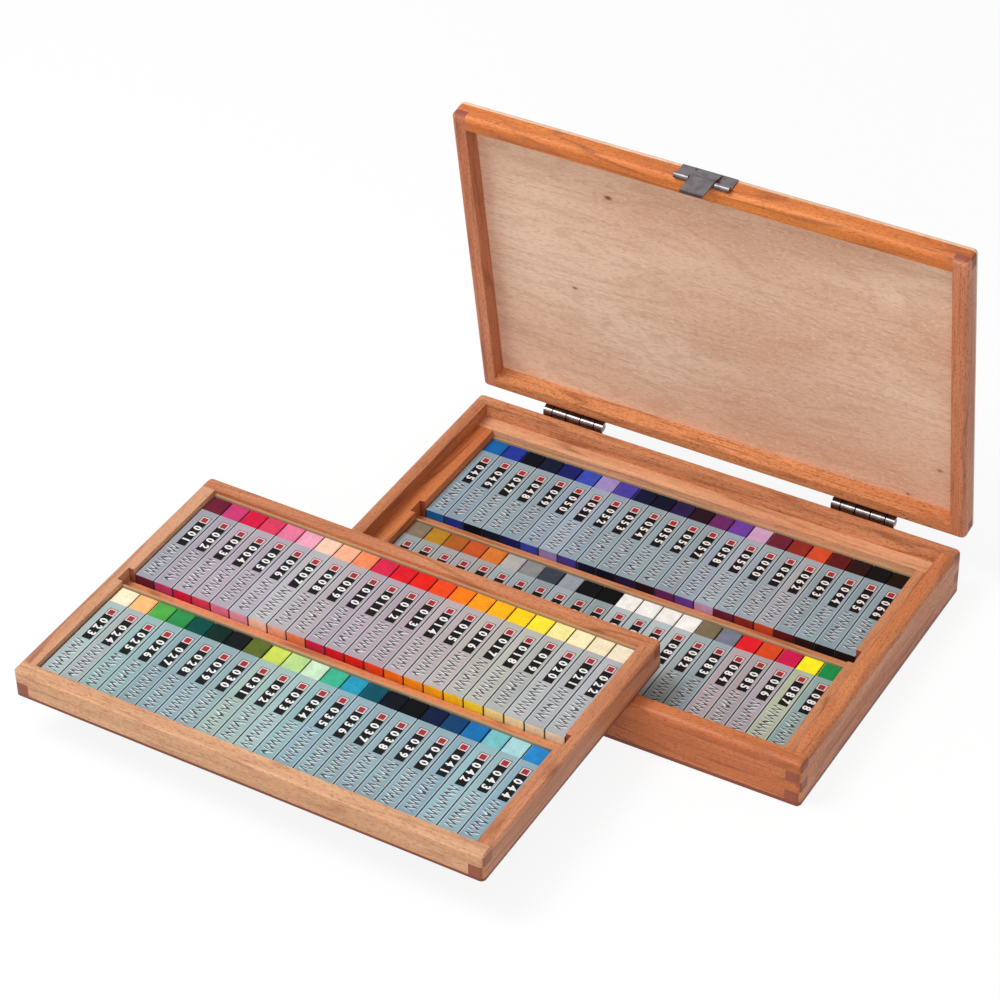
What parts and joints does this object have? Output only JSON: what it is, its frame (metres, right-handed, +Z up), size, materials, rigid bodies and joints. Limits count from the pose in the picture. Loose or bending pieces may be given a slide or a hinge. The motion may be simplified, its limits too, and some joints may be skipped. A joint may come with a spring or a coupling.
{
  "type": "wooden pastel stick box",
  "caption": "Shallow finger-jointed wooden case with a hinged lid, a snap latch and a lift-out tray, holding rows of square pastel sticks.",
  "frame": {"origin": "centre of the case's underside", "axes": "+X along the case's long side, +Y towards the hinges, +Z up"},
  "size_m": [0.3537, 0.3386, 0.2188],
  "materials": {
    "case_wood": "satin lacquer",
    "tray_wood": "satin lacquer",
    "liner_wood": "sanded",
    "panel_plywood": "satin lacquer",
    "pastel_a": "chalky",
    "pastel_b": "chalky",
    "pastel_c": "chalky",
    "pastel_d": "chalky",
    "sleeve_paper": "printed",
    "card": "matt",
    "hinge_steel": "polished",
    "latch_steel": "dull"
  },
  "bodies": {
    "case": {"case_bottom_board": "case_wood", "case_front_wall": "case_wood", "case_back_wall": "case_wood", "case_left_wall": "case_wood", "case_right_wall": "case_wood", "liner_front_rail": "liner_wood", "liner_back_rail": "liner_wood", "liner_left_rail": "liner_wood", "liner_right_rail": "liner_wood", "liner_divider": "liner_wood", "liner_card_strips": "card", "row_c_sticks": "pastel_c", "row_c_sleeves": "sleeve_paper", "row_d_sticks": "pastel_d", "row_d_sleeves": "sleeve_paper", "hinge_case_leaf_left": "hinge_steel", "hinge_case_leaf_right": "hinge_steel", "hinge_pins": "hinge_steel", "hinge_case_screws": "hinge_steel", "latch_catch": "latch_steel", "latch_catch_screws": "latch_steel"},
    "lid": {"lid_panel": "panel_plywood", "lid_front_wall": "case_wood", "lid_back_wall": "case_wood", "lid_left_wall": "case_wood", "lid_right_wall": "case_wood", "hinge_lid_leaf_left": "hinge_steel", "hinge_lid_leaf_right": "hinge_steel", "hinge_lid_screws": "hinge_steel", "latch_plate": "latch_steel", "latch_pin": "latch_steel", "latch_plate_screws": "latch_steel"},
    "latch_tongue": {"latch_tongue": "latch_steel"},
    "tray": {"tray_bottom_board": "tray_wood", "tray_front_wall": "tray_wood", "tray_back_wall": "tray_wood", "tray_left_wall": "tray_wood", "tray_right_wall": "tray_wood", "tray_divider": "liner_wood", "tray_card_strips": "card", "row_a_sticks": "pastel_a", "row_a_sleeves": "sleeve_paper", "row_b_sticks": "pastel_b", "row_b_sleeves": "sleeve_paper"}
  },
  "joints": [
    {"name": "lid_hinge", "type": "hinge", "parent": "case", "child": "lid", "pos_m": [0, 0.0956, 0.02735], "axis": [1, 0, 0], "range_deg": [-14, 81.2]},
    {"name": "latch_swing", "type": "hinge", "parent": "lid", "child": "latch_tongue", "pos_m": [0, 0.0683, 0.21579], "axis": [-1, 0, 0], "range_deg": [0, 90]},
    {"name": "tray_slide", "type": "slide", "parent": "case", "child": "tray", "axis": [-0.0157, -0.9995, -0.0262], "range_m": [-0.01, 0.053]}
  ],
  "couplings": [
    {"joint": "tray_slide", "follows": "lid_hinge", "m_per_rad": 0.03669}
  ]
}
